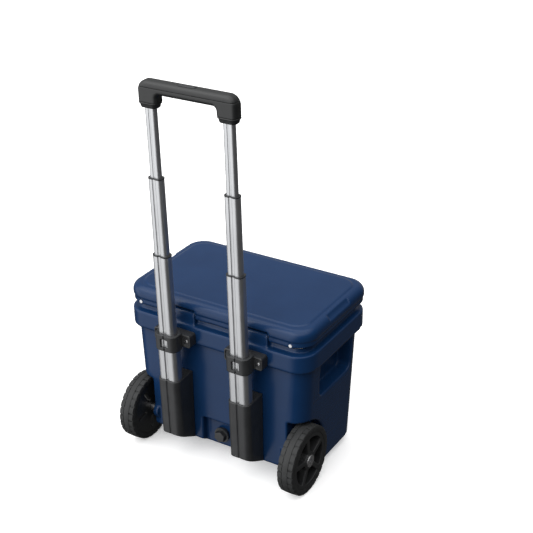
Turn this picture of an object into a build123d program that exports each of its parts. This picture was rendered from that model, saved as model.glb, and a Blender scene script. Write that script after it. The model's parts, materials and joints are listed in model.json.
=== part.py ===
from build123d import *

# Wheeled hard cooler with a telescoping pull handle, in millimetres.
# +X is to the right for a person who faces the handle side, +Y runs from the
# handle side to the latch side, +Z is up. The origin is on the ground, under
# the middle of the bounding box. The handle is drawn fully extended.

import os
from math import cos, radians, sin, sqrt, tan

os.makedirs("parts", exist_ok=True)

# ---------------------------------------------------------------- driving sizes
rim_width = 564.0           # rim band round the top of the tub, over all
rim_depth = 347.0
rim_corner = 56.0
rim_low = 366.0
rim_high = 416.0
side_overhang = 13.5        # how far the rim stands proud of the wall
front_overhang = 21.0
rear_overhang = 13.0

floor_low = 23.0            # underside of the tub
side_draft = 13.5           # how much narrower each side is at the floor
rear_draft = 2.0
front_draft = 9.0
wall_corner = 48.0
heel_rise = 34.0            # sloped heel under the rear wall, for tilting
heel_run = 55.0

skin = 4.0                  # moulded skin of tub and lid
foam_gap = 0.5              # foam stands this far clear of both skins
cavity_wall = 34.0          # skin, foam and liner together
cavity_floor = 40.0
cavity_corner = 30.0
liner_step = 12.0           # how far the foam thins behind the wheel wells
liner_wall = 3.0
neck_inset = 20.0           # raised neck inside the rim that carries the liner
neck_height = 13.0
flange_thick = 3.0

lid_width = 563.0
lid_depth = 349.0
lid_top = 485.0
lid_gap = 10.0              # neck to lid underside
lid_edge = 20.0
lid_crease = 456.0          # below this the lid's skirt steps in
lid_step = 2.5
scoop_radius = 34.0
scoop_length = 110.0
scoop_sink = 4.0            # how deep the finger scoops cut the shoulder
panel_inset = 27.0
panel_rise = 2.5
gasket_width = 7.0
gasket_clear = 0.3

hinge_height = 444.0
hinge_inset = 17.0          # hinge axis ahead of the rim's rear face
hinge_rod_radius = 4.0
hinge_clear = 0.06
lug_radius = 10.0
hinge_round = 14.0          # lower rear edge of the lid, round the hinge axis
knuckle_radius = 11.5       # solid core round each rod, inside the lid
lug_inner = 60.0            # hinge lugs of the tub, across X
lug_outer = 163.0
notch_side_clear = 3.0
notch_round_clear = 4.0
rod_end = 222.0
hinge_screw_x = 230.5

wheel_radius = 96.5
tyre_width = 46.0
tyre_inner_radius = 79.0
wheel_out = 277.0           # outer face of the tyre from the middle
axle_ahead = 28.3           # axle ahead of the rim's rear face
axle_radius = 8.0
axle_head_radius = 17.0
wheel_clear = 0.08
bushing_radius = 12.0
hub_radius = 24.0
boss_length = 16.0          # axle boss in the wall of the wheel well
well_inner = 214.0          # inner wall of the wheel well from the middle
well_gap = 10.5

leg_x = 110.0               # half the spacing of the handle's legs
leg_standoff = 31.0         # leg axis behind the rim's rear face, at the ground
leg_lean = 1.587            # degrees that the legs lean to the rear
tube_widths = (58.0, 47.0, 39.0, 29.5)
tube_depths = (36.0, 29.5, 24.0, 17.5)
tube_corners = (13.0, 10.5, 8.5, 6.5)
tube_walls = (1.8, 1.6, 1.5, 1.4)
groove_half = (5.5, 5.5, 5.5, 3.0)      # groove down each stage's rear face
groove_depth = (3.2, 2.6, 2.0, 1.2)
groove_wall = 1.0           # metal left behind the groove
tube_low = (100.0, 350.0, 590.0, 800.0)
tube_high = (404.0, 635.0, 846.0, 1052.0)
collar_height = 3.0
collar_proud = 0.7
collar_bore_clear = 0.35
glide_height = 20.0
glide_clear = 0.35
push_rod_radius = 2.0

socket_top = 269.0
socket_wall = 4.0
crease_width = 5.0
socket_heel = 57.0
clamp_low = 361.0
clamp_high = 408.0
clamp_wall = 5.0
ear_reach = 57.0
ear_low = 366.0
ear_high = 402.0
clamp_screw_x = 45.0
clamp_screw_z = 384.0
screw_head_radius = 4.5
screw_radius = 2.5

grip_top = 1098.0
grip_under = 1065.0
grip_flange = 1044.0
cuff_low = 1030.0
grip_half = 137.0
grip_depth = 34.0
grip_shoulder = 26.0        # outer corners over the legs
grip_crook = 9.0            # inner corners, where the bar turns down
grip_edge = 11.0
leg_block_width = 55.0
cuff_width = 46.0
cuff_depth = 29.0
button_width = 47.0
button_depth = 12.0
button_travel = 4.0
grip_screw_x = 45.0

drain_half_width = 52.0
drain_high = 130.0
drain_inset = 24.0
drain_z = 80.0
drain_bore = 13.0
plug_radius = 22.0
plug_hex_radius = 17.0
drain_wall = 16.0           # wall of the tub in front of the drain recess

pocket_front = 270.0        # hand pockets, ahead of the rim's rear face
pocket_rear = 98.0
pocket_low = 249.0
pocket_high = 380.0
pocket_inset = 44.0

foot_radius = 17.0
foot_x = 180.0
foot_ahead = 270.0

latch_x = 150.0
latch_width = 56.0
latch_low = 384.0
latch_pivot_z = 454.0
latch_thick = 9.0
latch_proud = 5.0
latch_pin_radius = 2.5
latch_clear = 2.0

# ---------------------------------------------------------------- worked-out places
lean_sin = sin(radians(leg_lean))
lean_cos = cos(radians(leg_lean))
rear_reach = leg_standoff + grip_top * tan(radians(leg_lean)) + grip_depth / 2 * lean_cos
front_reach = rim_depth + latch_proud
rear = (rear_reach - front_reach) / 2          # the rim's rear face
front = rear + rim_depth
rim_y = rear + rim_depth / 2
wall_width = rim_width - 2 * side_overhang
wall_rear = rear + rear_overhang
wall_front = front - front_overhang
neck_top = rim_high + neck_height
lid_low = neck_top + lid_gap
hinge_y = rear + hinge_inset
axle_y = rear + axle_ahead
arch_radius = wheel_radius + well_gap
wheel_mid = wheel_out - tyre_width / 2
leg_y = rear - leg_standoff
cavity_bottom = floor_low + cavity_floor
opening_width = wall_width - 2 * cavity_wall
opening_rear = wall_rear + cavity_wall
opening_front = wall_front - cavity_wall
drain_y = wall_rear + drain_inset
foot_y = rear + foot_ahead
hinge_axis = Plane(origin=(0, hinge_y, hinge_height), x_dir=(0, 1, 0), z_dir=(1, 0, 0))
axle_plane = Plane(origin=(0, axle_y, wheel_radius), x_dir=(0, 1, 0), z_dir=(1, 0, 0))
sides = (("left", -1), ("right", 1))


def finish(piece, name, part=None):
    """Label a finished piece and write it under its node's name."""
    shape = part if part is not None else piece.part
    shape.label = name
    export_step(shape, f"parts/{name}.step")


def leg_plane(x, height=0.0):
    """Cross-section plane of a handle leg at a height along its leaning axis."""
    base = Plane(origin=(x, leg_y, 0), x_dir=(1, 0, 0), z_dir=(0, -lean_sin, lean_cos))
    return base.offset(height)


def rear_plane(x, z, y):
    """Plane that faces the handle side, with its normal towards -Y."""
    return Plane(origin=(x, y, z), x_dir=(1, 0, 0), z_dir=(0, -1, 0))


def stage_profile(stage, grow=0.0, groove=True):
    """Outer section of one leg stage, grown outwards: twin lobes with a groove between."""
    width = tube_widths[stage] + 2 * grow
    depth = tube_depths[stage] + 2 * grow
    RectangleRounded(width, depth, tube_corners[stage] + grow)
    if groove:
        with Locations((0, -depth / 2)):
            Ellipse(max(groove_half[stage] - grow, 1.5), groove_depth[stage], mode=Mode.SUBTRACT)


def bore_profile(stage, clear=0.0):
    """Inner section of one leg stage, moved inwards by a clearance."""
    wall = tube_walls[stage] + clear
    depth = tube_depths[stage] - 2 * wall
    RectangleRounded(tube_widths[stage] - 2 * wall, depth, tube_corners[stage] - wall)
    bump = groove_depth[stage] + groove_wall - tube_walls[stage]
    with Locations((0, -depth / 2)):
        Ellipse(groove_half[stage] + groove_wall + clear, bump, mode=Mode.SUBTRACT)


# ---------------------------------------------------------------- tub
def tub_form(inset):
    """Outer form of the tub with every face moved in by the same amount."""
    with BuildPart() as form:
        with BuildSketch(Plane.XY.offset(floor_low + inset)):
            with Locations((0, (wall_rear + rear_draft + wall_front - front_draft) / 2)):
                RectangleRounded(
                    wall_width - 2 * (side_draft + inset),
                    wall_front - wall_rear - rear_draft - front_draft - 2 * inset,
                    wall_corner - inset,
                )
        with BuildSketch(Plane.XY.offset(rim_low + inset)):
            with Locations((0, (wall_rear + wall_front) / 2)):
                RectangleRounded(
                    wall_width - 2 * inset, wall_front - wall_rear - 2 * inset, wall_corner - inset
                )
        loft()
        with BuildSketch(Plane.XY.offset(rim_low + inset)):
            with Locations((0, rim_y)):
                RectangleRounded(rim_width - 2 * inset, rim_depth - 2 * inset, rim_corner - inset)
        extrude(amount=rim_high - rim_low - 2 * inset)
        with BuildSketch(Plane.XY.offset(rim_high - inset)):
            with Locations((0, rim_y)):
                RectangleRounded(
                    rim_width - 2 * (neck_inset + inset),
                    rim_depth - 2 * (neck_inset + inset),
                    rim_corner - neck_inset - inset,
                )
        extrude(amount=neck_height + 2 * inset)
        # wheel wells, concentric with the axles
        for side in (-1, 1):
            with BuildSketch(axle_plane.offset(side * (well_inner - inset))):
                Circle(arch_radius + inset)
            extrude(amount=side * rim_width / 2, mode=Mode.SUBTRACT)
        # hand pockets under the rim at both sides
        for side in (-1, 1):
            pocket_plane = Plane(
                origin=(side * (wall_width / 2 - pocket_inset - inset), rear, 0),
                x_dir=(0, 1, 0),
                z_dir=(1, 0, 0),
            )
            with BuildSketch(pocket_plane):
                with Locations(((pocket_front + pocket_rear) / 2, (pocket_low + pocket_high) / 2)):
                    RectangleRounded(
                        pocket_front - pocket_rear + 2 * inset, pocket_high - pocket_low + 2 * inset, 20
                    )
            extrude(amount=side * (pocket_inset + 2 * inset - 0.1), mode=Mode.SUBTRACT)
            if inset == 0:
                with BuildSketch(pocket_plane):
                    with Locations(((pocket_front + pocket_rear) / 2, (pocket_low + rim_low) / 2)):
                        Rectangle(pocket_front - pocket_rear - 40, rim_low - pocket_low)
                    with Locations(((pocket_front + pocket_rear) / 2, (pocket_low + rim_low) / 2 + 10)):
                        Rectangle(pocket_front - pocket_rear, rim_low - pocket_low - 20)
                extrude(amount=side * rim_width / 2, mode=Mode.SUBTRACT)
        # recess round the drain, open to the heel
        with BuildSketch(rear_plane(0, 0, drain_y + inset)):
            with Locations((0, (drain_high + inset) / 2)):
                Rectangle(2 * (drain_half_width + inset), drain_high + inset)
        extrude(amount=drain_inset + rim_width, mode=Mode.SUBTRACT)
        # sloped heel
        with BuildSketch(Plane.YZ.offset(-rim_width / 2)):
            with BuildLine():
                slope = heel_rise / heel_run
                lift = inset * sqrt(1 + slope * slope)
                heel_y = wall_rear + heel_run + 60
                Polyline(
                    (wall_rear - 60, floor_low + heel_rise + 60 * slope + lift),
                    (heel_y, floor_low - 60 * slope + lift),
                    (wall_rear - 60, floor_low - 60 * slope + lift - 40),
                    close=True,
                )
            make_face()
        extrude(amount=rim_width, mode=Mode.SUBTRACT)
    return form.part


def cavity_form(grow):
    """Inside of the cooler, grown outwards by the same amount."""
    with BuildPart() as form:
        with BuildSketch(Plane.XY.offset(cavity_bottom - grow)):
            with Locations((0, (opening_rear + opening_front) / 2)):
                RectangleRounded(
                    opening_width - 2 * side_draft + 2 * grow,
                    opening_front - opening_rear - 2 * rear_draft + 2 * grow,
                    cavity_corner + grow,
                )
        with BuildSketch(Plane.XY.offset(neck_top)):
            with Locations((0, (opening_rear + opening_front) / 2)):
                RectangleRounded(
                    opening_width + 2 * grow, opening_front - opening_rear + 2 * grow, cavity_corner + grow
                )
        loft()
        # the liner steps in over the wheel wells
        for side in (-1, 1):
            with BuildSketch(axle_plane.offset(side * (well_inner - cavity_wall + liner_step + grow))):
                Circle(arch_radius + cavity_wall - liner_step - grow)
            extrude(amount=side * rim_width, mode=Mode.SUBTRACT)
        # and in behind the hand pockets
        for side in (-1, 1):
            with BuildSketch(Plane.YZ.offset(side * (wall_width / 2 - pocket_inset - 20 + grow))):
                with Locations((rear + (pocket_front + pocket_rear) / 2, (pocket_low + pocket_high) / 2)):
                    Rectangle(
                        pocket_front - pocket_rear + 40 - 2 * grow, pocket_high - pocket_low + 40 - 2 * grow
                    )
            extrude(amount=side * rim_width, mode=Mode.SUBTRACT)
        # and in front of the drain recess
        with BuildSketch(rear_plane(0, 0, drain_y + drain_wall - grow)):
            with Locations((0, (drain_high + 20 - grow) / 2)):
                Rectangle(2 * (drain_half_width + drain_wall - grow), drain_high + 20 - grow)
        extrude(amount=rim_width, mode=Mode.SUBTRACT)
    return form.part


with BuildPart() as body_shell:
    add(tub_form(0))
    add(tub_form(skin), mode=Mode.SUBTRACT)
    with BuildSketch(Plane.XY.offset(neck_top - flange_thick)):
        with Locations((0, rim_y)):
            RectangleRounded(
                rim_width - 2 * (neck_inset + skin),
                rim_depth - 2 * (neck_inset + skin),
                rim_corner - neck_inset - skin,
            )
    extrude(amount=flange_thick + 1, mode=Mode.SUBTRACT)
    # hinge lugs on the rear of the rim
    lug_drop = hinge_height - rim_high + 2
    for side in (-1, 1):
        with BuildSketch(hinge_axis.offset(side * lug_inner)):
            Circle(lug_radius)
            with Locations(((neck_inset - hinge_inset - lug_radius) / 2, -lug_drop / 2)):
                Rectangle(neck_inset - hinge_inset + lug_radius + 0.4, lug_drop)
        extrude(amount=side * (lug_outer - lug_inner))
        with BuildSketch(hinge_axis.offset(side * (lug_inner - 1))):
            Circle(hinge_rod_radius + hinge_clear / 2)
        extrude(amount=side * (lug_outer - lug_inner + 2), mode=Mode.SUBTRACT)
    # axle bosses in the wheel wells
    for side in (-1, 1):
        with BuildSketch(axle_plane.offset(side * (well_inner - boss_length))):
            Circle(hub_radius)
        extrude(amount=side * boss_length)
        with BuildSketch(axle_plane.offset(side * (well_inner - boss_length - 1))):
            Circle(axle_radius)
        extrude(amount=side * (boss_length + 2), mode=Mode.SUBTRACT)
    # drain hole
    with BuildSketch(rear_plane(0, drain_z, drain_y + skin + 1)):
        Circle(drain_bore)
    extrude(amount=skin + 2, mode=Mode.SUBTRACT)
    # foot bosses under the front corners
    with BuildSketch(Plane.XY.offset(floor_low - 8)):
        with Locations((foot_x, foot_y), (-foot_x, foot_y)):
            Circle(foot_radius + 6)
    extrude(amount=8 + skin)
    with BuildSketch(Plane.XY.offset(floor_low - 9)):
        with Locations((foot_x, foot_y), (-foot_x, foot_y)):
            Circle(screw_radius)
    extrude(amount=9 + skin + 1, mode=Mode.SUBTRACT)
    # recesses for the latches in the front of the rim
    for side in (-1, 1):
        with BuildSketch(Plane.XY.offset(rim_low - 1)):
            with Locations((side * latch_x, front)):
                Rectangle(latch_width + 6, 2 * (latch_thick + 3))
        extrude(amount=rim_high - rim_low + 2, mode=Mode.SUBTRACT)
        with BuildSketch(Plane.XY.offset(rim_low)):
            with Locations((side * latch_x, front - latch_thick - 3 - skin / 2)):
                Rectangle(latch_width + 6 + 2 * skin, skin)
        extrude(amount=rim_high - rim_low)
finish(body_shell, "body_shell")

with BuildPart() as body_liner:
    add(cavity_form(liner_wall))
    with BuildSketch(Plane.XY.offset(neck_top - flange_thick)):
        with Locations((0, rim_y)):
            RectangleRounded(
                rim_width - 2 * (neck_inset + skin + 0.2),
                rim_depth - 2 * (neck_inset + skin + 0.2),
                rim_corner - neck_inset - skin,
            )
    extrude(amount=flange_thick)
    add(cavity_form(0), mode=Mode.SUBTRACT)
    with BuildSketch(rear_plane(0, drain_z, drain_y + 60)):
        Circle(drain_bore + 0.2)
    extrude(amount=60, mode=Mode.SUBTRACT)
finish(body_liner, "body_liner")

with BuildPart() as body_foam:
    add(tub_form(skin + foam_gap))
    with BuildSketch(Plane.XY.offset(neck_top - flange_thick - foam_gap)):
        with Locations((0, rim_y)):
            Rectangle(rim_width, rim_depth)
    extrude(amount=60, mode=Mode.SUBTRACT)
    add(cavity_form(liner_wall + foam_gap), mode=Mode.SUBTRACT)
    with BuildSketch(Plane.XY.offset(neck_top - 30)):
        with Locations((0, (opening_rear + opening_front) / 2)):
            RectangleRounded(opening_width, opening_front - opening_rear, cavity_corner)
    extrude(amount=60, mode=Mode.SUBTRACT)
    for side in (-1, 1):
        with BuildSketch(axle_plane.offset(side * (well_inner - boss_length - 2))):
            Circle(hub_radius + foam_gap)
        extrude(amount=side * 40, mode=Mode.SUBTRACT)
        with BuildSketch(Plane.XY.offset(rim_low - 8)):
            with Locations((side * latch_x, front)):
                Rectangle(latch_width + 16 + 2 * skin, 2 * (latch_thick + 8 + skin))
        extrude(amount=80, mode=Mode.SUBTRACT)
    with BuildSketch(rear_plane(0, drain_z, drain_y + 60)):
        Circle(drain_bore + 1)
    extrude(amount=60, mode=Mode.SUBTRACT)
body_foam_solid = body_foam.part.solids().sort_by(SortBy.VOLUME)[-1]
finish(body_foam, "body_foam", body_foam_solid)

# ---------------------------------------------------------------- drain
with BuildPart() as drain_bushing:
    with BuildSketch(rear_plane(0, drain_z, drain_y + drain_wall)):
        Circle(drain_bore - 0.1)
    extrude(amount=drain_wall)
    with BuildSketch(rear_plane(0, drain_z, drain_y)):
        Circle(drain_bore + 6)
    extrude(amount=4)
    with BuildSketch(rear_plane(0, drain_z, drain_y + drain_wall + 1)):
        Circle(drain_bore - 3)
    extrude(amount=drain_wall + 6, mode=Mode.SUBTRACT)
finish(drain_bushing, "drain_bushing")

seal_thick = 2.0
with BuildPart() as drain_seal:
    with BuildSketch(rear_plane(0, drain_z, drain_y - 4)):
        Circle(drain_bore + 1)
        Circle(drain_bore - 2.7, mode=Mode.SUBTRACT)
    extrude(amount=seal_thick)
finish(drain_seal, "drain_seal")

plug_face = drain_y - 4 - seal_thick
plug_shank = drain_wall + 4
with BuildPart() as drain_plug:
    with BuildSketch(rear_plane(0, drain_z, plug_face)):
        Circle(plug_radius)
    extrude(amount=5)
    with BuildSketch(rear_plane(0, drain_z, plug_face - 5)):
        RegularPolygon(plug_hex_radius, 6, rotation=20)
    extrude(amount=12)
    fillet(drain_plug.faces().sort_by(Axis.Y)[0].edges(), 2)
    with BuildSketch(rear_plane(0, drain_z, plug_face + plug_shank)):
        Circle(drain_bore - 3.06)
    extrude(amount=plug_shank)
finish(drain_plug, "drain_plug")

# ---------------------------------------------------------------- feet
with BuildPart() as foot:
    with BuildSketch():
        Circle(foot_radius)
    extrude(amount=floor_low - 8, taper=-8)
    fillet(foot.faces().sort_by(Axis.Z)[0].edges(), 2)
    with BuildSketch():
        Circle(screw_head_radius + 0.5)
    extrude(amount=6, mode=Mode.SUBTRACT)
    with BuildSketch(Plane.XY.offset(5)):
        Circle(screw_radius)
    extrude(amount=floor_low, mode=Mode.SUBTRACT)
for label, side in sides:
    placed = Pos(side * foot_x, foot_y, 0) * foot.part
    finish(None, f"foot_{label}", placed)

with BuildPart() as foot_screws:
    with BuildSketch(Plane.XY.offset(3)):
        with Locations((foot_x, foot_y), (-foot_x, foot_y)):
            Circle(screw_head_radius)
    extrude(amount=3)
    with BuildSketch(Plane.XY.offset(6)):
        with Locations((foot_x, foot_y), (-foot_x, foot_y)):
            Circle(screw_radius)
    extrude(amount=floor_low + skin - 6)
finish(foot_screws, "foot_screws")

# ---------------------------------------------------------------- hinge
for label, side in sides:
    with BuildPart() as hinge_rod:
        with BuildSketch(hinge_axis.offset(side * 20)):
            Circle(hinge_rod_radius - hinge_clear / 2)
        extrude(amount=side * (rod_end - 20))
        chamfer(hinge_rod.edges(), 0.6)
    finish(hinge_rod, f"hinge_rod_{label}")

# ---------------------------------------------------------------- lid
lid_rear = rear + (rim_depth - lid_depth) / 2 + 4
lid_y = lid_rear + lid_depth / 2
lid_front = lid_rear + lid_depth


notch_top = lug_radius + notch_round_clear + 5      # above the hinge axis
shoulder_share = 1 - 1 / sqrt(2)        # where a round shoulder meets its diagonal


def lid_form(inset):
    """Outer form of the lid, with every face moved in by the same amount."""
    with BuildPart() as form:
        with BuildSketch(Plane.XY.offset(lid_crease + inset)):
            with Locations((0, lid_y)):
                RectangleRounded(lid_width - 2 * inset, lid_depth - 2 * inset, rim_corner - inset)
        extrude(amount=lid_top - lid_crease - 2 * inset)
        fillet(form.faces().sort_by(Axis.Z)[-1].edges(), lid_edge - inset)
        with BuildSketch(Plane.XY.offset(lid_low + inset)):
            with Locations((0, lid_y)):
                skirt = lid_step + inset
                RectangleRounded(lid_width - 2 * skirt, lid_depth - 2 * skirt, rim_corner - skirt)
        extrude(amount=lid_crease - lid_low)
        # finger scoops in the shoulder at both ends
        for side in (-1, 1):
            scoop_out = (scoop_radius - scoop_sink) / sqrt(2)
            scoop_x = lid_width / 2 - lid_edge * shoulder_share + scoop_out
            with Locations((side * scoop_x, lid_y, lid_top - lid_edge * shoulder_share + scoop_out)):
                Cylinder(scoop_radius + inset, scoop_length + 2 * inset, rotation=(90, 0, 0), mode=Mode.SUBTRACT)
        with BuildSketch(hinge_axis.offset(-rim_width / 2)):
            with Locations((-hinge_round, -hinge_round)):
                Rectangle(2 * hinge_round, 2 * hinge_round)
            Circle(hinge_round - inset, mode=Mode.SUBTRACT)
        extrude(amount=rim_width, mode=Mode.SUBTRACT)
    return form.part


def lid_notches(grow):
    """Clearance in the lid's rear edge round the tub's hinge lugs."""
    with BuildPart() as notches:
        for side in (-1, 1):
            low_x = lug_inner - notch_side_clear - grow
            high_x = lug_outer + notch_side_clear + grow
            with BuildSketch(hinge_axis.offset(side * low_x)):
                with Locations((lug_radius + notch_round_clear + grow - 40, notch_top + grow - 40)):
                    Rectangle(80, 80)
            extrude(amount=side * (high_x - low_x))
    return notches.part


plug_width = opening_width - 12.0
plug_rear = opening_rear + 18.0
plug_front = opening_front - 6.0
plug_low = neck_top - 20.0

with BuildPart() as lid_shell:
    add(lid_form(0))
    add(lid_form(skin), mode=Mode.SUBTRACT)
    # open underside inside the edge band
    with BuildSketch(Plane.XY.offset(lid_low - 1)):
        with Locations((0, (plug_rear + plug_front) / 2)):
            RectangleRounded(plug_width, plug_front - plug_rear, cavity_corner)
    extrude(amount=skin + 3, mode=Mode.SUBTRACT)
    # raised panel on top
    with BuildSketch(Plane.XY.offset(lid_top - 1)):
        with Locations((0, lid_y)):
            RectangleRounded(
                lid_width - 2 * panel_inset, lid_depth - 2 * panel_inset, rim_corner - panel_inset / 2
            )
    extrude(amount=1 + panel_rise, taper=30)
    # hinge knuckles: solid blocks round the rods, inside the lid's rear edge
    for inner, outer in ((16.0, lug_inner - notch_side_clear), (lug_outer + notch_side_clear, rod_end + 14)):
        for side in (-1, 1):
            with BuildSketch(hinge_axis.offset(side * inner)):
                Circle(knuckle_radius)
            extrude(amount=side * (outer - inner))
    add(lid_notches(0), mode=Mode.SUBTRACT)
    for side in (-1, 1):
        with BuildSketch(hinge_axis.offset(side * 20)):
            Circle(hinge_rod_radius + hinge_clear / 2)
        extrude(amount=side * (rod_end - 20 + 0.5), mode=Mode.SUBTRACT)
    # walls that close the notches
    for side in (-1, 1):
        with BuildSketch(Plane.XY.offset(lid_low)):
            with Locations((side * (lug_inner + lug_outer) / 2, hinge_y + lug_radius + notch_round_clear + skin / 2)):
                Rectangle(lug_outer - lug_inner + 2 * notch_side_clear, skin)
        extrude(amount=hinge_height + notch_top + skin - lid_low)
        with BuildSketch(Plane.XY.offset(hinge_height + notch_top)):
            with Locations(
                (side * (lug_inner + lug_outer) / 2, (lid_rear + hinge_y + lug_radius + notch_round_clear) / 2 + 1)
            ):
                Rectangle(
                    lug_outer - lug_inner + 2 * notch_side_clear,
                    hinge_y + lug_radius + notch_round_clear - lid_rear,
                )
        extrude(amount=skin)
        for wall_x in (lug_inner - notch_side_clear - skin / 2, lug_outer + notch_side_clear + skin / 2):
            with BuildSketch(Plane.XY.offset(lid_low)):
                with Locations((side * wall_x, (lid_rear + hinge_y + lug_radius + notch_round_clear) / 2 + 2)):
                    Rectangle(skin, hinge_y + lug_radius + notch_round_clear - lid_rear)
            extrude(amount=hinge_height + notch_top + skin - lid_low)
    for side in (-1, 1):
        with BuildSketch(hinge_axis.offset(side * 20)):
            Circle(hinge_rod_radius + hinge_clear / 2)
        extrude(amount=side * (rod_end - 20 + 0.5), mode=Mode.SUBTRACT)
    # counterbored screw holes that hold the rods
    for side in (-1, 1):
        with BuildSketch(rear_plane(side * hinge_screw_x, hinge_height, lid_rear + 12)):
            Circle(screw_radius)
        extrude(amount=20, mode=Mode.SUBTRACT)
        with BuildSketch(rear_plane(side * hinge_screw_x, hinge_height, lid_rear + 4)):
            Circle(screw_head_radius + 1.5)
        extrude(amount=20, mode=Mode.SUBTRACT)
    # recesses for the latches in the front edge
    for side in (-1, 1):
        with BuildSketch(Plane.XY.offset(lid_low - 1)):
            with Locations((side * latch_x, lid_front)):
                Rectangle(latch_width + 6, 2 * (latch_thick + 8))
        extrude(amount=latch_pivot_z + 14 - lid_low, mode=Mode.SUBTRACT)
        with BuildSketch(Plane.XY.offset(lid_low)):
            with Locations((side * latch_x, lid_front - latch_thick - 8 - skin / 2)):
                Rectangle(latch_width + 6 + 2 * skin, skin)
            for edge in (-1, 1):
                with Locations(
                    (side * latch_x + edge * (latch_width + 6 + skin) / 2, lid_front - (latch_thick + 10) / 2 - 3)
                ):
                    Rectangle(skin, latch_thick + 4)
        extrude(amount=latch_pivot_z + 10 - lid_low)
        with BuildSketch(Plane(origin=(side * latch_x - latch_width / 2 - 12, 0, 0), x_dir=(0, 1, 0), z_dir=(1, 0, 0))):
            with Locations((lid_front - latch_thick / 2 - 2, latch_pivot_z)):
                Circle(latch_pin_radius)
        extrude(amount=latch_width + 24, mode=Mode.SUBTRACT)
lid_shell_solid = lid_shell.part.solids().sort_by(SortBy.VOLUME)[-1]
finish(lid_shell, "lid_shell", lid_shell_solid)

with BuildPart() as lid_liner:
    with BuildSketch(Plane.XY.offset(plug_low)):
        with Locations((0, (plug_rear + plug_front) / 2)):
            RectangleRounded(plug_width - 0.4, plug_front - plug_rear - 0.4, cavity_corner)
    extrude(amount=lid_low + skin - plug_low)
    fillet(lid_liner.faces().sort_by(Axis.Z)[0].edges(), 6)
    with BuildSketch(Plane.XY.offset(plug_low + liner_wall)):
        with Locations((0, (plug_rear + plug_front) / 2)):
            RectangleRounded(
                plug_width - 2 * liner_wall, plug_front - plug_rear - 2 * liner_wall, cavity_corner - liner_wall
            )
    extrude(amount=lid_top, mode=Mode.SUBTRACT)
finish(lid_liner, "lid_liner")

with BuildPart() as lid_foam:
    with BuildSketch(Plane.XY.offset(plug_low + liner_wall + foam_gap)):
        with Locations((0, (plug_rear + plug_front) / 2 + 2)):
            RectangleRounded(
                plug_width - 2 * (liner_wall + 4), plug_front - plug_rear - 2 * (liner_wall + 4), cavity_corner - 7
            )
    extrude(amount=lid_top - skin - foam_gap - plug_low - liner_wall - foam_gap - 1)
finish(lid_foam, "lid_foam")

with BuildPart() as lid_gasket:
    with BuildSketch(Plane.XY.offset(neck_top + gasket_clear)):
        with Locations((0, (opening_rear + opening_front) / 2)):
            RectangleRounded(
                opening_width + 2 * (gasket_width + 2),
                opening_front - opening_rear + 2 * (gasket_width + 2),
                cavity_corner + gasket_width,
            )
            RectangleRounded(
                opening_width + 4, opening_front - opening_rear + 4, cavity_corner, mode=Mode.SUBTRACT
            )
    extrude(amount=lid_gap - gasket_clear)
finish(lid_gasket, "lid_gasket")

with BuildPart() as hinge_screws:
    for side in (-1, 1):
        with BuildSketch(rear_plane(side * hinge_screw_x, hinge_height, lid_rear + 12)):
            Circle(screw_radius)
        extrude(amount=8)
        with BuildSketch(rear_plane(side * hinge_screw_x, hinge_height, lid_rear + 4)):
            Circle(screw_head_radius)
        extrude(amount=2.5)
finish(hinge_screws, "hinge_screws")

# ---------------------------------------------------------------- latches
latch_y = lid_front - latch_thick / 2 - 2
for label, side in sides:
    with BuildPart() as latch:
        with BuildSketch(
            Plane(origin=(side * latch_x - latch_width / 2, latch_y, 0), x_dir=(0, 1, 0), z_dir=(1, 0, 0))
        ):
            with Locations((0, latch_pivot_z)):
                Circle(latch_thick / 2 + 1.5)
            with Locations((0.5, (latch_low + latch_pivot_z) / 2)):
                Rectangle(latch_thick, latch_pivot_z - latch_low)
            with Locations((latch_thick / 2 + 0.5, latch_low + 5)):
                Circle(4)
            with Locations((0, latch_pivot_z)):
                Circle(latch_pin_radius + hinge_clear / 2, mode=Mode.SUBTRACT)
        extrude(amount=latch_width)
    finish(latch, f"latch_{label}")

with BuildPart() as latch_pins:
    for side in (-1, 1):
        with BuildSketch(
            Plane(origin=(side * latch_x - latch_width / 2 - 6, latch_y, 0), x_dir=(0, 1, 0), z_dir=(1, 0, 0))
        ):
            with Locations((0, latch_pivot_z)):
                Circle(latch_pin_radius - hinge_clear / 2)
        extrude(amount=latch_width + 12)
finish(latch_pins, "latch_pins")

for label, side in sides:
    with BuildPart() as keeper:
        with BuildSketch(Plane.XY.offset(rim_low + 12)):
            with Locations((side * latch_x, front - latch_thick - 3 + 1)):
                Rectangle(latch_width - 16, 2)
        extrude(amount=28)
        fillet(keeper.edges().filter_by(Axis.Y), 3)
    finish(keeper, f"latch_keeper_{label}")

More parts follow.
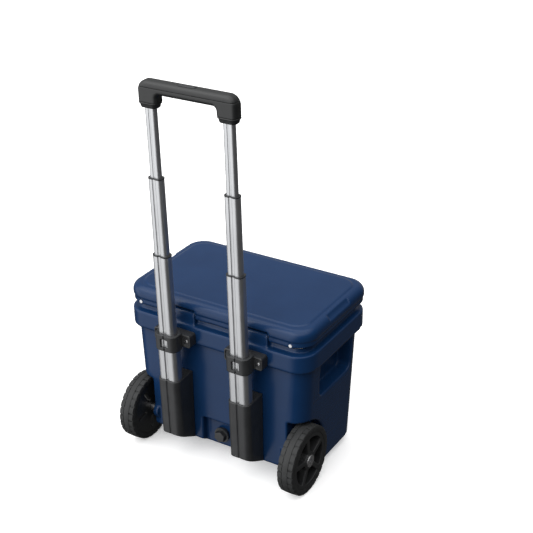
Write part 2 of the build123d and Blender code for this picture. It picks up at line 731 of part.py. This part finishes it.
# ---------------------------------------------------------------- wheels
spoke_count = 5
spoke_width = 13.0
spoke_turn = (10.0, 25.0)
window_inner = 25.0
window_outer = 68.0
window_depth = 30.0
slot_width = 9.0
wheel_side_gap = 1.0        # wheel narrower than the tyre at each side
for (label, side), turn in zip(sides, spoke_turn):
    with BuildPart() as tyre:
        with BuildSketch(axle_plane.offset(side * (wheel_out - tyre_width))):
            Circle(wheel_radius)
            Circle(tyre_inner_radius, mode=Mode.SUBTRACT)
        extrude(amount=side * tyre_width)
        fillet(tyre.edges().filter_by(GeomType.CIRCLE).group_by(SortBy.RADIUS)[-1], 7)
    finish(tyre, f"tyre_{label}")

    wheel_face = axle_plane.offset(side * (wheel_out - wheel_side_gap))
    with BuildPart() as wheel:
        with BuildSketch(wheel_face):
            Circle(tyre_inner_radius - 0.1)
        extrude(amount=-side * (tyre_width - 2 * wheel_side_gap))
        # windows between the spokes, and narrower slots through the web behind them
        with BuildSketch(wheel_face):
            Circle(window_outer)
            Circle(window_inner, mode=Mode.SUBTRACT)
            with PolarLocations(window_outer / 2, spoke_count, turn):
                Rectangle(window_outer + 10, spoke_width, mode=Mode.SUBTRACT)
        extrude(amount=-side * window_depth, mode=Mode.SUBTRACT)
        with BuildSketch(wheel_face):
            with PolarLocations((window_inner + window_outer) / 2, spoke_count, turn + 180 / spoke_count):
                Rectangle(window_outer - window_inner - 6, slot_width)
        extrude(amount=-side * tyre_width, mode=Mode.SUBTRACT)
        with BuildSketch(wheel_face):
            Circle(bushing_radius)
        extrude(amount=-side * tyre_width, mode=Mode.SUBTRACT)
    finish(wheel, f"wheel_{label}")

    with BuildPart() as bushing:
        with BuildSketch(wheel_face):
            Circle(bushing_radius)
            Circle(axle_radius + wheel_clear / 2, mode=Mode.SUBTRACT)
        extrude(amount=-side * (tyre_width - 2 * wheel_side_gap))
    finish(bushing, f"wheel_bushing_{label}")

    with BuildPart() as axle:
        with BuildSketch(axle_plane.offset(side * (well_inner - boss_length))):
            Circle(axle_radius - wheel_clear / 2)
        extrude(amount=side * (wheel_out - well_inner + boss_length))
        with BuildSketch(axle_plane.offset(side * (wheel_out - wheel_side_gap + 0.5))):
            Circle(axle_head_radius)
        extrude(amount=side * 3)
        fillet(axle.faces().sort_by(Axis.X)[-1 if side > 0 else 0].edges(), 1)
        with BuildSketch(axle_plane.offset(side * (wheel_out + 4))):
            RegularPolygon(axle_radius, 6)
        extrude(amount=-side * 8, mode=Mode.SUBTRACT)
        with BuildSketch(axle_plane.offset(side * well_inner)):
            Circle(axle_radius + 4)
        extrude(amount=side * (wheel_out - tyre_width + wheel_side_gap - well_inner - 0.5))
    finish(axle, f"axle_bolt_{label}")

# ---------------------------------------------------------------- handle legs
for label, side in sides:
    # boot that holds the foot of the outer tube against the wall
    with BuildPart() as socket:
        with BuildSketch(leg_plane(side * leg_x, socket_heel - 20)):
            stage_profile(0, socket_wall)
            with Locations((0, tube_depths[0] / 4 + 20)):
                Rectangle(tube_widths[0] + 2 * socket_wall, 50)
        extrude(amount=socket_top - socket_heel + 20)
        with BuildSketch(Plane.XZ.offset(-wall_rear + 0.2)):
            with Locations((side * leg_x, 200)):
                Rectangle(200, 600)
        extrude(amount=-200, mode=Mode.SUBTRACT)
        with BuildSketch(leg_plane(side * leg_x, tube_low[0])):
            stage_profile(0, 0.1)
        extrude(amount=400, mode=Mode.SUBTRACT)
        with BuildSketch(leg_plane(side * leg_x, 0)):
            with Locations((0, -tube_depths[0] / 2 - socket_wall)):
                Rectangle(crease_width, crease_width, rotation=45)
        extrude(amount=400, mode=Mode.SUBTRACT)
        with BuildSketch(Plane.YZ.offset(side * leg_x - 60)):
            with BuildLine():
                rise = 0.56
                Polyline(
                    (wall_rear + 20, socket_heel - 20 * rise),
                    (wall_rear - 100, socket_heel + 100 * rise),
                    (wall_rear - 100, 0),
                    (wall_rear + 20, 0),
                    close=True,
                )
            make_face()
        extrude(amount=120, mode=Mode.SUBTRACT)
    finish(socket, f"socket_{label}")

    # clamp that holds the head of the outer tube against the rim
    with BuildPart() as clamp:
        with BuildSketch(leg_plane(side * leg_x, clamp_low)):
            stage_profile(0, clamp_wall)
        extrude(amount=clamp_high - clamp_low)
        with BuildSketch(rear_plane(side * leg_x, (ear_low + ear_high) / 2, rear - 0.2)):
            RectangleRounded(2 * ear_reach, ear_high - ear_low, 6)
        extrude(amount=27)
        with BuildSketch(leg_plane(side * leg_x, clamp_low - 10)):
            stage_profile(0, 0.1)
        extrude(amount=tube_high[0] - clamp_low + 10, mode=Mode.SUBTRACT)
        with BuildSketch(leg_plane(side * leg_x, tube_high[0] - 1)):
            stage_profile(1, collar_bore_clear)
        extrude(amount=60, mode=Mode.SUBTRACT)
        # recessed panels and screw holes in the ears
        for edge in (-1, 1):
            at_x = side * leg_x + edge * clamp_screw_x
            with BuildSketch(rear_plane(at_x, (ear_low + ear_high) / 2, rear - 24)):
                RectangleRounded(16, ear_high - ear_low - 10, 4)
            extrude(amount=10, mode=Mode.SUBTRACT)
            with BuildSketch(rear_plane(at_x, clamp_screw_z, rear)):
                Circle(screw_radius)
            extrude(amount=40, mode=Mode.SUBTRACT)
        # window over the groove
        with BuildSketch(rear_plane(side * leg_x, (clamp_low + clamp_high) / 2 - 2, rear - leg_standoff)):
            RectangleRounded(22, 26, 3)
        extrude(amount=60, mode=Mode.SUBTRACT)
    finish(clamp, f"clamp_{label}")

with BuildPart() as clamp_screws:
    for label, side in sides:
        for edge in (-1, 1):
            at_x = side * leg_x + edge * clamp_screw_x
            with BuildSketch(rear_plane(at_x, clamp_screw_z, rear - 1)):
                Circle(screw_radius)
            extrude(amount=23)
            with BuildSketch(rear_plane(at_x, clamp_screw_z, rear - 24)):
                Circle(screw_head_radius)
            extrude(amount=2.5)
            fillet(clamp_screws.faces().sort_by(Axis.Y)[0].edges(), 0.8)
finish(clamp_screws, "clamp_screws")

stage_names = ("outer", "stage2", "stage3", "stage4")
for stage, stage_name in enumerate(stage_names):
    for label, side in sides:
        with BuildPart() as tube:
            with BuildSketch(leg_plane(side * leg_x, tube_low[stage])):
                stage_profile(stage)
            extrude(amount=tube_high[stage] - tube_low[stage])
            with BuildSketch(leg_plane(side * leg_x, tube_low[stage])):
                bore_profile(stage)
            extrude(amount=tube_high[stage] - tube_low[stage], mode=Mode.SUBTRACT)
        finish(tube, f"{stage_name}_tube_{label}")

# collars on top of the two middle stages, each bored for the next stage
for stage in (1, 2):
    with BuildPart() as collars:
        for label, side in sides:
            with BuildSketch(leg_plane(side * leg_x, tube_high[stage])):
                stage_profile(stage, collar_proud)
            extrude(amount=collar_height)
            with BuildSketch(leg_plane(side * leg_x, tube_high[stage] - 10)):
                bore_profile(stage, 0.05)
            extrude(amount=10)
            with BuildSketch(leg_plane(side * leg_x, tube_high[stage] - 11)):
                stage_profile(stage + 1, collar_bore_clear)
            extrude(amount=collar_height + 12, mode=Mode.SUBTRACT)
    finish(collars, f"{stage_names[stage]}_collars")

# plastic glides under each sliding stage, guided by the stage outside it
for stage in (1, 2, 3):
    with BuildPart() as glides:
        for label, side in sides:
            with BuildSketch(leg_plane(side * leg_x, tube_low[stage] - glide_height)):
                bore_profile(stage - 1, glide_clear)
            extrude(amount=glide_height)
            with BuildSketch(leg_plane(side * leg_x, tube_low[stage])):
                bore_profile(stage, 0.05)
            extrude(amount=8)
    finish(glides, f"{stage_names[stage]}_glides")

with BuildPart() as push_rods:
    for label, side in sides:
        with BuildSketch(leg_plane(side * leg_x, tube_low[3] + 8)):
            with Locations((0, 2)):
                Circle(push_rod_radius)
        extrude(amount=grip_under + 8 - tube_low[3] - 8)
finish(push_rods, "push_rods")

# ---------------------------------------------------------------- grip
grip_split = (grip_under + grip_top) / 2
bar_plane = Plane(origin=(0, leg_y, 0), x_dir=(1, 0, 0), z_dir=(0, -lean_sin, lean_cos))


def grip_form():
    """Whole outer form of the grip: a rounded bar that turns down over each leg."""
    elevation = Plane(origin=(0, leg_y, 0), x_dir=(1, 0, 0), z_dir=(0, -lean_cos, -lean_sin))
    with BuildPart() as form:
        with BuildSketch(elevation):
            with Locations((0, (grip_top + grip_flange) / 2)):
                Rectangle(2 * grip_half, grip_top - grip_flange)
            fillet(vertices().group_by(Axis.Y)[-1], grip_shoulder)
            with Locations((0, (grip_under + grip_flange) / 2)):
                Rectangle(2 * (grip_half - leg_block_width), grip_under - grip_flange, mode=Mode.SUBTRACT)
            inner = vertices().filter_by(lambda v: abs(v.X) < grip_half - leg_block_width + 1)
            fillet(inner.group_by(Axis.Y)[-1], grip_crook)
        extrude(amount=grip_depth / 2, both=True)
        outline = form.edges().filter_by(lambda e: e.center().Z > grip_flange * lean_cos + 2)
        outline = outline.filter_by(lambda e: abs((e.center().Y - leg_y) * lean_cos + e.center().Z * lean_sin) > 5)
        fillet(outline, grip_edge)
    return form.part


whole_grip = grip_form()
button_y = -2.0
with BuildPart() as grip_upper:
    add(whole_grip)
    with BuildSketch(bar_plane.offset(grip_split)):
        Rectangle(2 * grip_half + 10, grip_depth + 10)
    extrude(amount=-100, mode=Mode.SUBTRACT)
    with BuildSketch(bar_plane.offset(grip_split - 1)):
        RectangleRounded(2 * grip_half - 24, grip_depth - 12, 8)
    extrude(amount=grip_top - grip_split - 6, mode=Mode.SUBTRACT)
    with BuildSketch(bar_plane.offset(grip_split)):
        with Locations((0, button_y)):
            RectangleRounded(button_width + 0.6, button_depth + 0.6, 5)
    extrude(amount=60, mode=Mode.SUBTRACT)
finish(grip_upper, "grip_upper")

with BuildPart() as grip_lower:
    add(whole_grip)
    with BuildSketch(bar_plane.offset(grip_split)):
        Rectangle(2 * grip_half + 10, grip_depth + 10)
    extrude(amount=100, mode=Mode.SUBTRACT)
    with BuildSketch(bar_plane.offset(grip_under + 4)):
        RectangleRounded(2 * grip_half - 24, grip_depth - 12, 8)
    extrude(amount=60, mode=Mode.SUBTRACT)
    for side in (-1, 1):
        with BuildSketch(leg_plane(side * leg_x, grip_flange - 5)):
            stage_profile(3, 0.1, False)
        extrude(amount=80, mode=Mode.SUBTRACT)
    with BuildSketch(bar_plane.offset(grip_under - 1)):
        with Locations((-grip_screw_x, 0), (grip_screw_x, 0)):
            Circle(screw_head_radius)
    extrude(amount=5.5, mode=Mode.SUBTRACT)
finish(grip_lower, "grip_lower")

cuff_steps = 3
cuff_step = (grip_flange - cuff_low) / (cuff_steps + 1)
with BuildPart() as grip_cuffs:
    for side in (-1, 1):
        for step in range(cuff_steps + 1):
            wide = 2 * step if step < cuff_steps else leg_block_width - cuff_width + 2
            cuff_corner = (cuff_depth + wide) / 2 - 4
            with BuildSketch(leg_plane(side * leg_x, cuff_low + step * cuff_step)):
                RectangleRounded(cuff_width + wide, min(cuff_depth + wide, grip_depth + 2), min(cuff_corner, 15))
            extrude(amount=cuff_step)
        with BuildSketch(leg_plane(side * leg_x, cuff_low - 1)):
            stage_profile(3, 0.1, False)
        extrude(amount=grip_flange - cuff_low + 2, mode=Mode.SUBTRACT)
finish(grip_cuffs, "grip_cuffs")

with BuildPart() as grip_screws:
    with BuildSketch(bar_plane.offset(grip_under + 0.5)):
        with Locations((-grip_screw_x, 0), (grip_screw_x, 0)):
            Circle(screw_head_radius - 0.1)
    extrude(amount=3.5)
finish(grip_screws, "grip_screws")

button_low = grip_split + 2.0
with BuildPart() as release_button:
    with BuildSketch(bar_plane.offset(button_low)):
        with Locations((0, button_y)):
            RectangleRounded(button_width, button_depth, 4.7)
    extrude(amount=grip_top + 1.5 - button_low)
    fillet(release_button.faces().sort_by(Axis.Z)[-1].edges(), 1.5)
finish(release_button, "release_button")

spring_turns = 4
spring_low = grip_under + 4.0
with BuildPart() as button_spring:
    with BuildLine() as coil:
        Helix(
            pitch=(button_low - spring_low - 1.6) / spring_turns,
            height=button_low - spring_low - 1.6,
            radius=4,
            center=(0, leg_y - lean_sin * (spring_low + 0.8) + button_y, (spring_low + 0.8) * lean_cos),
            direction=(0, -lean_sin, lean_cos),
        )
    with BuildSketch(Plane(origin=coil.line @ 0, z_dir=coil.line % 0)):
        Circle(0.7)
    sweep(is_frenet=True)
finish(button_spring, "button_spring")
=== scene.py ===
import json
import math

import bmesh
import bpy
from mathutils import Matrix, Vector


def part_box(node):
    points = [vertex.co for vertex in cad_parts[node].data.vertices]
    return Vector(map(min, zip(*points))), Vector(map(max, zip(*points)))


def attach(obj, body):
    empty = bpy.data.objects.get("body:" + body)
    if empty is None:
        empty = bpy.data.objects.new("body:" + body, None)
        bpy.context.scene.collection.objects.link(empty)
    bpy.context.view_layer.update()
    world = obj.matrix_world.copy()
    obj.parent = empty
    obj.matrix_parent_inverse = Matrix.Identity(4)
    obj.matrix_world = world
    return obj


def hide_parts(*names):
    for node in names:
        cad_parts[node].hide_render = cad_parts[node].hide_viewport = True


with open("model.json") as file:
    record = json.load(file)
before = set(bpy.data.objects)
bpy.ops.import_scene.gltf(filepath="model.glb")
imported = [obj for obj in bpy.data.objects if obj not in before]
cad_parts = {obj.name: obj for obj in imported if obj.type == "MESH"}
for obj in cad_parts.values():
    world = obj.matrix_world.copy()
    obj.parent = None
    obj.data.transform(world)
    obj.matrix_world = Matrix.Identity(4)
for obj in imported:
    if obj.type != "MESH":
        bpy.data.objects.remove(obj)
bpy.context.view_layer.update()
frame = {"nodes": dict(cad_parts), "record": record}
nodes = frame["nodes"]
SIDES = ("left", "right")


# ---------------------------------------------------------------- finishes
class Flow:
    """A shader socket that takes part in plain arithmetic."""

    def __init__(self, finish, socket):
        self.finish = finish
        self.socket = socket

    def __add__(self, other):
        return self.finish.math("ADD", self, other)

    def __mul__(self, other):
        return self.finish.math("MULTIPLY", self, other)

    __radd__ = __add__
    __rmul__ = __mul__


class Finish:
    """A material under construction."""

    def __init__(self, name):
        self.material = bpy.data.materials.new(name)
        self.material.use_nodes = True
        self.tree = self.material.node_tree
        self.tree.nodes.clear()
        self.place = self.node("ShaderNodeTexCoord", output="Object")

    def node(self, kind, settings=None, values=None, output=0):
        made = self.tree.nodes.new(kind)
        for key, value in (settings or {}).items():
            if key == "stops":
                for stop, (position, colour) in zip(made.color_ramp.elements, value):
                    stop.position = position
                    stop.color = (*colour, 1.0)
            else:
                setattr(made, key, value)
        for key, value in (values or {}).items():
            if isinstance(value, Flow):
                self.tree.links.new(value.socket, made.inputs[key])
            else:
                made.inputs[key].default_value = value
        return Flow(self, made.outputs[output])

    def math(self, operation, left, right):
        return self.node("ShaderNodeMath", {"operation": operation}, {0: left, 1: right})

    def grain(self, scale, detail=2.0, stretch=(1.0, 1.0, 1.0)):
        """Noise about 0.5, with this many bumps to the metre, squeezed along each axis by stretch."""
        vector = self.node("ShaderNodeMapping", None, {"Vector": self.place, "Scale": stretch})
        return self.node("ShaderNodeTexNoise", None, {"Vector": vector, "Scale": scale, "Detail": detail})

    def dots(self, scale):
        """Distance to the nearest of scattered points."""
        return self.node("ShaderNodeTexVoronoi", None, {"Vector": self.place, "Scale": scale}, "Distance")

    def tint(self, factor, low, high):
        return self.node("ShaderNodeValToRGB", {"stops": ((0.3, low), (0.7, high))}, {"Fac": factor})

    def bump(self, height, strength, distance):
        return self.node(
            "ShaderNodeBump", None, {"Height": height, "Strength": strength, "Distance": distance}, "Normal"
        )

    def surface(self, colour, roughness, normal=None, **constants):
        values = {"Base Color": colour, "Roughness": roughness}
        for key, value in constants.items():
            values[key.replace("_", " ").title().replace("Ior", "IOR")] = value
        if normal:
            values["Normal"] = normal
        shader = self.node("ShaderNodeBsdfPrincipled", None, values)
        end = self.tree.nodes.new("ShaderNodeOutputMaterial")
        self.tree.links.new(shader.socket, end.inputs["Surface"])
        return self.material


def moulded_shell():
    """Navy rotomoulded polyethylene: a faint orange-peel skin with cloudy sheen."""
    f = Finish("moulded_shell")
    clouds = f.grain(9.0, 3.0)
    peel = f.dots(620.0)
    colour = f.tint(clouds * 0.8 + peel * 0.2, (0.0045, 0.0255, 0.083), (0.0066, 0.0310, 0.096))
    height = peel * 0.6 + f.grain(1500.0) * 0.4
    return f.surface(colour, clouds * 0.08 + 0.19, f.bump(height, 0.06, 0.0005), specular_ior_level=0.24)


def black_plastic(name, colour, roughness, texture=0.14):
    """Glass-filled nylon with a fine spark-eroded texture."""
    f = Finish(name)
    clouds = f.grain(30.0)
    high = tuple(c * 1.35 for c in colour)
    skin = f.tint(clouds, colour, high)
    height = f.dots(1100.0) * 0.5 + f.grain(2600.0) * 0.5
    return f.surface(skin, clouds * 0.1 + (roughness - 0.05), f.bump(height, texture, 0.0004))


def tyre_rubber():
    f = Finish("tyre_rubber")
    clouds = f.grain(45.0, 4.0)
    colour = f.tint(clouds, (0.012, 0.0128, 0.0132), (0.024, 0.0252, 0.0262))
    height = f.grain(1400.0, 3.0) * 0.7 + clouds * 0.3
    return f.surface(colour, clouds * 0.16 + 0.62, f.bump(height, 0.35, 0.0005))


def anodised_tube():
    """Clear anodised aluminium, drawn lengthwise."""
    f = Finish("anodised_tube")
    lines = f.grain(1800.0, 2.0, (1.0, 1.0, 0.012))
    clouds = f.grain(14.0, 2.0)
    colour = f.tint(lines * 0.5 + clouds * 0.5, (0.53, 0.54, 0.555), (0.62, 0.63, 0.645))
    roughness = lines * 0.08 + (clouds * 0.03 + 0.36)
    return f.surface(colour, roughness, f.bump(lines, 0.05, 0.0002), metallic=1.0)


def bright_steel():
    f = Finish("bright_steel")
    rings = f.grain(900.0, 2.0)
    colour = f.tint(rings, (0.56, 0.56, 0.57), (0.74, 0.74, 0.75))
    return f.surface(colour, rings * 0.14 + 0.2, f.bump(rings, 0.05, 0.0002), metallic=1.0)


def pale_liner():
    f = Finish("pale_liner")
    clouds = f.grain(12.0, 3.0)
    colour = f.tint(clouds, (0.66, 0.68, 0.69), (0.74, 0.755, 0.76))
    return f.surface(colour, clouds * 0.14 + 0.34, f.bump(f.dots(700.0), 0.1, 0.0004))


def foam_fill():
    f = Finish("foam_fill")
    cells = f.dots(900.0)
    colour = f.tint(cells, (0.62, 0.53, 0.33), (0.78, 0.7, 0.47))
    return f.surface(colour, cells * 0.1 + 0.8, f.bump(cells, 0.5, 0.0008))


def soft_rubber():
    f = Finish("soft_rubber")
    clouds = f.grain(60.0, 3.0)
    colour = f.tint(clouds, (0.018, 0.018, 0.019), (0.034, 0.034, 0.036))
    return f.surface(colour, clouds * 0.14 + 0.52, f.bump(f.grain(1800.0), 0.2, 0.0003))


SHELL = moulded_shell()
PLASTIC = black_plastic("black_plastic", (0.019, 0.020, 0.0215), 0.46)
GRIP = black_plastic("grip_plastic", (0.011, 0.0118, 0.0124), 0.42, 0.2)
RIM = black_plastic("rim_plastic", (0.014, 0.0148, 0.0155), 0.42)
TYRE = tyre_rubber()
TUBE = anodised_tube()
STEEL = bright_steel()
LINER = pale_liner()
FOAM = foam_fill()
RUBBER = soft_rubber()


# ---------------------------------------------------------------- shaping helpers
def body_of(node):
    """The moving body a CAD node belongs to."""
    for body, members in frame["record"]["behaviour"]["bodies"].items():
        if node in members:
            return body


def piece_from(work, name, finish, body, replaced=(), sharp=35.0):
    """Turns a bmesh into a finished piece that rides on a body."""
    mesh = bpy.data.meshes.new(name)
    for face in work.faces:
        face.smooth = True
    for edge in work.edges:
        edge.smooth = len(edge.link_faces) != 2 or edge.calc_face_angle(0.0) < math.radians(sharp)
    work.to_mesh(mesh)
    work.free()
    mesh.materials.append(finish)
    piece = bpy.data.objects.new(name, mesh)
    bpy.context.scene.collection.objects.link(piece)
    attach(piece, body)
    if replaced:
        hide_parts(*replaced)
    return piece


def welded(node):
    """The solid of a CAD node with its triangles joined up."""
    work = bmesh.new()
    work.from_mesh(nodes[node].data)
    bmesh.ops.remove_doubles(work, verts=work.verts, dist=2e-6)
    return work


def polished(node, finish, sharp=35.0):
    """A CAD node's own shape with smooth shading over its curved faces."""
    return piece_from(welded(node), node + "_piece", finish, body_of(node), (node,), sharp=sharp)


def moulded(node, finish, cell, rounds, keep=1.0):
    """A CAD node's shape with the soft edges of a moulding."""
    piece = piece_from(welded(node), node + "_piece", finish, body_of(node), (node,))
    remesh = piece.modifiers.new("even_skin", "REMESH")
    remesh.mode = "VOXEL"
    remesh.voxel_size = cell
    remesh.use_smooth_shade = True
    soften = piece.modifiers.new("soft_edges", "SMOOTH")
    soften.factor = 0.5
    soften.iterations = rounds
    if keep < 1.0:
        thin = piece.modifiers.new("lighter", "DECIMATE")
        thin.ratio = keep
    return piece


# ---------------------------------------------------------------- tub and lid
moulded("body_shell", SHELL, cell=0.003, rounds=4, keep=0.40)
moulded("lid_shell", SHELL, cell=0.0022, rounds=3, keep=0.45)
polished("body_liner", LINER)
polished("lid_liner", LINER)
nodes["body_foam"].data.materials[0] = FOAM
nodes["lid_foam"].data.materials[0] = FOAM
for part in ("lid_gasket", "drain_seal"):
    polished(part, RUBBER)
for part in ("latch_left", "latch_right", "foot_left", "foot_right"):
    polished(part, RUBBER)
for part in ("drain_bushing", "drain_plug"):
    polished(part, PLASTIC)
for part in ("foot_screws", "hinge_screws", "clamp_screws", "grip_screws", "latch_pins", "push_rods",
             "button_spring", "latch_keeper_left", "latch_keeper_right", "hinge_rod_left", "hinge_rod_right",
             "axle_bolt_left", "axle_bolt_right"):
    polished(part, STEEL)

# ---------------------------------------------------------------- handle
for label in SIDES:
    moulded("socket_" + label, PLASTIC, cell=0.0014, rounds=3)
    moulded("clamp_" + label, PLASTIC, cell=0.0010, rounds=3)
    for stage in ("outer", "stage2", "stage3", "stage4"):
        polished(stage + "_tube_" + label, TUBE, sharp=28.0)
for part in ("stage2_collars", "stage3_collars", "stage2_glides", "stage3_glides", "stage4_glides"):
    polished(part, PLASTIC)
moulded("grip_upper", GRIP, cell=0.0013, rounds=3)
moulded("grip_lower", GRIP, cell=0.0013, rounds=3)
moulded("grip_cuffs", GRIP, cell=0.0010, rounds=2)
polished("release_button", PLASTIC)

# ---------------------------------------------------------------- wheels
TREAD_BLOCKS = 28
TREAD_STEPS = 8         # faces round the tyre for each block and its gap
GAP_STEPS = 2
TREAD_HEIGHT = 0.0030
TYRE_WALL = 0.0175
CROWN_SHARE = 0.15      # shares of half the width: flat crown, its edge, start of the blocks
RIB_SHARE = 0.33
BLOCK_SHARE = 0.40


def tread_tyre(label):
    """A solid tyre: a smooth crown with a row of low blocks along each shoulder."""
    low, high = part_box("tyre_" + label)
    centre = (low + high) / 2
    radius = (high.z - low.z) / 2
    inner = radius - TYRE_WALL
    half = (high.x - low.x) / 2
    work = bmesh.new()
    shoulder_row = radius - 0.0008 - TREAD_HEIGHT
    block_row = radius - 0.0002 - TREAD_HEIGHT
    one_side = [
        (half * CROWN_SHARE, radius), (half * RIB_SHARE, radius - 0.0006), (half * BLOCK_SHARE, block_row),
        (half - 0.0050, shoulder_row), (half - 0.0016, radius - 0.0040), (half, radius - 0.0080),
        (half, inner + 0.002), (half - 0.0005, inner),
    ]
    section = [(-x, r) for x, r in reversed(one_side)] + one_side
    ring = [work.verts.new((x, 0.0, r)) for x, r in section]
    edges = [work.edges.new((ring[i], ring[(i + 1) % len(ring)])) for i in range(len(ring))]
    bmesh.ops.spin(
        work, geom=ring + edges, cent=(0, 0, 0), axis=(1, 0, 0), angle=math.tau,
        steps=TREAD_BLOCKS * TREAD_STEPS, use_merge=True,
    )
    bmesh.ops.remove_doubles(work, verts=work.verts, dist=1e-6)
    bmesh.ops.recalc_face_normals(work, faces=work.faces)
    blocks = []
    for face in work.faces:
        middle = face.calc_center_median()
        turn = math.floor(math.atan2(middle.z, middle.y) / math.tau * TREAD_BLOCKS * TREAD_STEPS)
        across = half * (BLOCK_SHARE + 0.01) < abs(middle.x) < half - 0.0006
        shoulder = across and math.hypot(middle.y, middle.z) > radius - 0.0072
        shift = 0 if middle.x > 0 else TREAD_STEPS // 2
        if shoulder and (turn + shift) % TREAD_STEPS < TREAD_STEPS - GAP_STEPS:
            blocks.append(face)
    raised = bmesh.ops.extrude_face_region(work, geom=blocks)
    bmesh.ops.delete(work, geom=blocks, context="FACES")
    for item in raised["geom"]:
        if isinstance(item, bmesh.types.BMVert):
            item.co += Vector((0.0, item.co.y, item.co.z)).normalized() * (TREAD_HEIGHT - 0.0001)
    bmesh.ops.recalc_face_normals(work, faces=work.faces)
    bmesh.ops.translate(work, verts=work.verts, vec=centre)
    node = "tyre_" + label
    piece_from(work, node + "_piece", TYRE, body_of(node), (node,), sharp=32.0)


for label in SIDES:
    tread_tyre(label)
    moulded("wheel_" + label, RIM, cell=0.0014, rounds=3)
    polished("wheel_bushing_" + label, PLASTIC)

# ---------------------------------------------------------------- floor, light, camera
floor_work = bmesh.new()
bmesh.ops.create_grid(floor_work, x_segments=1, y_segments=1, size=14.0)
floor_mesh = bpy.data.meshes.new("floor")
floor_work.to_mesh(floor_mesh)
floor_work.free()
floor = bpy.data.objects.new("floor", floor_mesh)
bpy.context.scene.collection.objects.link(floor)
floor_finish = Finish("pale_floor")
soft = floor_finish.grain(3.0)
floor_mesh.materials.append(
    floor_finish.surface(
        floor_finish.tint(soft, (0.90, 0.90, 0.90), (0.93, 0.93, 0.93)), soft * 0.1 + 0.7,
        specular_ior_level=0.0, emission_color=(1.0, 1.0, 1.0, 1.0), emission_strength=0.34,
    )
)
floor.visible_glossy = False
floor.visible_diffuse = False

world = bpy.data.worlds.new("studio")
bpy.context.scene.world = world
world.use_nodes = True
sky = world.node_tree
backdrop = sky.nodes["Background"]
compass = sky.nodes.new("ShaderNodeTexCoord")


def sky_lobe(direction, low, high, gain):
    """A soft patch of light on the surrounding tent, centred on a direction."""
    facing = sky.nodes.new("ShaderNodeVectorMath")
    facing.operation = "DOT_PRODUCT"
    facing.inputs[1].default_value = Vector(direction).normalized()
    sky.links.new(compass.outputs["Generated"], facing.inputs[0])
    patch = sky.nodes.new("ShaderNodeMapRange")
    patch.interpolation_type = "SMOOTHSTEP"
    patch.inputs["From Min"].default_value = low
    patch.inputs["From Max"].default_value = high
    patch.inputs["To Min"].default_value = 0.0
    patch.inputs["To Max"].default_value = gain
    sky.links.new(facing.outputs["Value"], patch.inputs["Value"])
    return patch.outputs["Result"]


glow = None
for lobe in (
    sky_lobe((0.0, -0.25, 1.0), 0.45, 0.90, 1.9),
    sky_lobe((-0.55, -0.80, 0.22), 0.42, 0.93, 1.85),
    sky_lobe((-0.47, 0.76, 0.45), 0.25, 0.95, 0.34),
    sky_lobe((0.0, 0.0, 1.0), -2.0, -1.1, 0.075),
):
    if glow is None:
        glow = lobe
        continue
    total = sky.nodes.new("ShaderNodeMath")
    sky.links.new(glow, total.inputs[0])
    sky.links.new(lobe, total.inputs[1])
    glow = total.outputs["Value"]
sky.links.new(glow, backdrop.inputs["Strength"])
backdrop.inputs["Color"].default_value = (1.0, 1.0, 1.0, 1.0)
bpy.context.scene.view_settings.view_transform = "Standard"

AZIMUTH, ELEVATION, ROLL = (math.radians(a) for a in (31.536, 26.893, -0.665))
EYE = Vector((1.47006, -2.25994, 1.91531))
back = Vector((
    math.sin(AZIMUTH) * math.cos(ELEVATION), -math.cos(AZIMUTH) * math.cos(ELEVATION), math.sin(ELEVATION)
))
right = Vector((math.cos(AZIMUTH), math.sin(AZIMUTH), 0.0))
up = back.cross(right)
turned_right = math.cos(ROLL) * right + math.sin(ROLL) * up
turned_up = math.cos(ROLL) * up - math.sin(ROLL) * right
lens = bpy.data.cameras.new("studio_camera")
lens.sensor_width = 36.0
lens.lens = 77.74
lens.clip_start = 0.05
lens.clip_end = 60.0
camera = bpy.data.objects.new("studio_camera", lens)
bpy.context.scene.collection.objects.link(camera)
camera.matrix_world = Matrix.Translation(EYE) @ Matrix((turned_right, turned_up, back)).transposed().to_4x4()
bpy.context.scene.camera = camera

bpy.context.view_layer.update()
